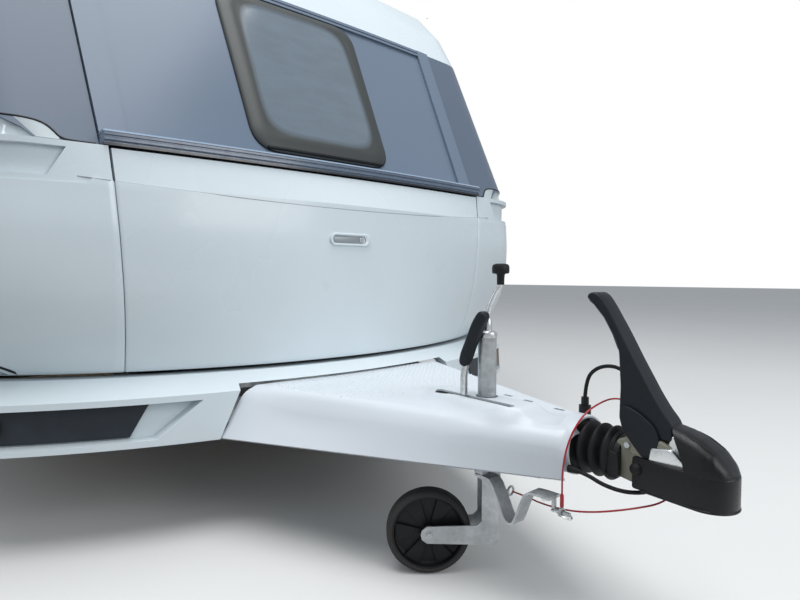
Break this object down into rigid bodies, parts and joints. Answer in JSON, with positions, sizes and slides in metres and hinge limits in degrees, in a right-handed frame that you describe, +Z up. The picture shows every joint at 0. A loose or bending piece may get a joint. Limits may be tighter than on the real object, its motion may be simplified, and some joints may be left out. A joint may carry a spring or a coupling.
{
  "type": "travel caravan",
  "caption": "Single-axle travel caravan with hollow cabin, hinged locker lid, door and hatches, turning wheels, a jockey wheel and folding corner steadies.",
  "frame": {"origin": "on the ground under the middle of the whole length", "axes": "+X forward to the coupling, +Y to the caravan's left, +Z up"},
  "size_m": [6.073, 2.368, 2.6],
  "materials": {
    "white_moulding": "smooth white moulded shell",
    "white_sheet": "white plastic-skinned foam panel",
    "grey_band": "glossy blue-grey moulding",
    "dark_trim": "dark grey moulded plastic",
    "tinted_acrylic": "dark tinted acrylic",
    "galvanised": "hot-dip galvanised steel",
    "cast": "painted casting",
    "black_plastic": "black moulded plastic",
    "black_rubber": "black rubber",
    "tyre": "road tyre",
    "rim": "silver wheel",
    "wood": "light furniture board",
    "fabric": "woven upholstery",
    "rail": "anodised aluminium",
    "lamp_red": "red lamp lens",
    "lamp_amber": "amber and clear lens",
    "red_cable": "red sheathed cable"
  },
  "bodies": {
    "caravan": {"awning_rails": "rail", "axle_beam": "galvanised", "bellows": "black_rubber", "belt_rail": "dark_trim", "breakaway_cable": "red_cable", "breakaway_hook": "galvanised", "bumper_insets": "dark_trim", "cabinets": "wood", "chassis_frame": "galvanised", "coupling_head": "cast", "coupling_lever": "black_plastic", "cushions": "fabric", "drawbar_cover": "white_moulding", "floor_panel": "wood", "front_band": "grey_band", "front_bumper": "white_moulding", "front_roof_cap": "white_moulding", "front_window": "tinted_acrylic", "gas_locker_box": "wood", "handbrake_lever": "black_plastic", "jockey_crank": "black_plastic", "jockey_tube": "galvanised", "lower_corners": "white_moulding", "marker_lamps": "lamp_amber", "overrun_housing": "galvanised", "power_lead": "black_rubber", "power_plug": "black_plastic", "rear_bumper": "white_moulding", "rear_lamps": "lamp_red", "rear_panel": "white_moulding", "rear_roof_cap": "white_moulding", "rear_window": "tinted_acrylic", "roof_hatch_frame": "white_moulding", "roof_panel": "white_sheet", "side_skirts": "white_moulding", "side_wall_left": "white_sheet", "side_wall_right": "white_sheet", "side_windows": "tinted_acrylic", "strip_bracket": "galvanised", "trailing_arms": "galvanised", "upper_corners": "grey_band"},
    "gas_locker_lid": {"gas_locker_lid": "white_moulding", "locker_handle": "dark_trim"},
    "entrance_door": {"entrance_door": "white_sheet", "door_window": "tinted_acrylic"},
    "service_hatch": {"service_hatch": "white_moulding"},
    "roof_hatch_lid": {"roof_hatch_lid": "tinted_acrylic"},
    "wheel_left": {"wheel_left": "rim", "tyre_left": "tyre"},
    "wheel_right": {"wheel_right": "rim", "tyre_right": "tyre"},
    "jockey_leg": {"jockey_leg": "galvanised"},
    "jockey_fork": {"jockey_fork": "galvanised"},
    "jockey_wheel": {"jockey_wheel": "black_rubber"},
    "steady_front_left": {"steady_front_left": "galvanised"},
    "steady_front_right": {"steady_front_right": "galvanised"},
    "steady_rear_left": {"steady_rear_left": "galvanised"},
    "steady_rear_right": {"steady_rear_right": "galvanised"}
  },
  "joints": [
    {"name": "wheel_left_spin", "type": "hinge", "parent": "caravan", "child": "wheel_left", "pos_m": [-0.7885, 1, 0.32], "axis": [0, 1, 0], "continuous": true},
    {"name": "wheel_right_spin", "type": "hinge", "parent": "caravan", "child": "wheel_right", "pos_m": [-0.7885, -1, 0.32], "axis": [0, 1, 0], "continuous": true},
    {"name": "jockey_slide", "type": "slide", "parent": "caravan", "child": "jockey_leg", "axis": [0, 0, 1], "range_m": [-0.12, 0.04]},
    {"name": "jockey_swivel", "type": "hinge", "parent": "jockey_leg", "child": "jockey_fork", "pos_m": [2.4625, -0.043, 0.29], "axis": [0, 0, 1], "range_deg": [-170, 65]},
    {"name": "jockey_spin", "type": "hinge", "parent": "jockey_fork", "child": "jockey_wheel", "pos_m": [2.3675, -0.164, 0.111], "axis": [0.7865, -0.6175, 0], "continuous": true},
    {"name": "gas_locker_hinge", "type": "hinge", "parent": "caravan", "child": "gas_locker_lid", "pos_m": [1.7255, 0, 1.146], "axis": [0, -1, 0], "range_deg": [0, 75]},
    {"name": "door_hinge", "type": "hinge", "parent": "caravan", "child": "entrance_door", "pos_m": [0.2115, -1.164, 1.4], "axis": [0, 0, 1], "range_deg": [0, 160]},
    {"name": "service_hatch_hinge", "type": "hinge", "parent": "caravan", "child": "service_hatch", "pos_m": [-1.8685, 1.159, 0.72], "axis": [0, 0, -1], "range_deg": [0, 150]},
    {"name": "roof_hatch_hinge", "type": "hinge", "parent": "caravan", "child": "roof_hatch_lid", "pos_m": [0.0215, 0, 2.566], "axis": [0, 1, 0], "range_deg": [0, 55]},
    {"name": "steady_front_left_hinge", "type": "hinge", "parent": "caravan", "child": "steady_front_left", "pos_m": [0.9715, 0.86, 0.352], "axis": [0, -1, 0], "range_deg": [0, 57]},
    {"name": "steady_front_right_hinge", "type": "hinge", "parent": "caravan", "child": "steady_front_right", "pos_m": [0.9715, -0.86, 0.352], "axis": [0, -1, 0], "range_deg": [0, 57]},
    {"name": "steady_rear_left_hinge", "type": "hinge", "parent": "caravan", "child": "steady_rear_left", "pos_m": [-2.4485, 0.86, 0.352], "axis": [0, 1, 0], "range_deg": [0, 57]},
    {"name": "steady_rear_right_hinge", "type": "hinge", "parent": "caravan", "child": "steady_rear_right", "pos_m": [-2.4485, -0.86, 0.352], "axis": [0, 1, 0], "range_deg": [0, 57]}
  ]
}
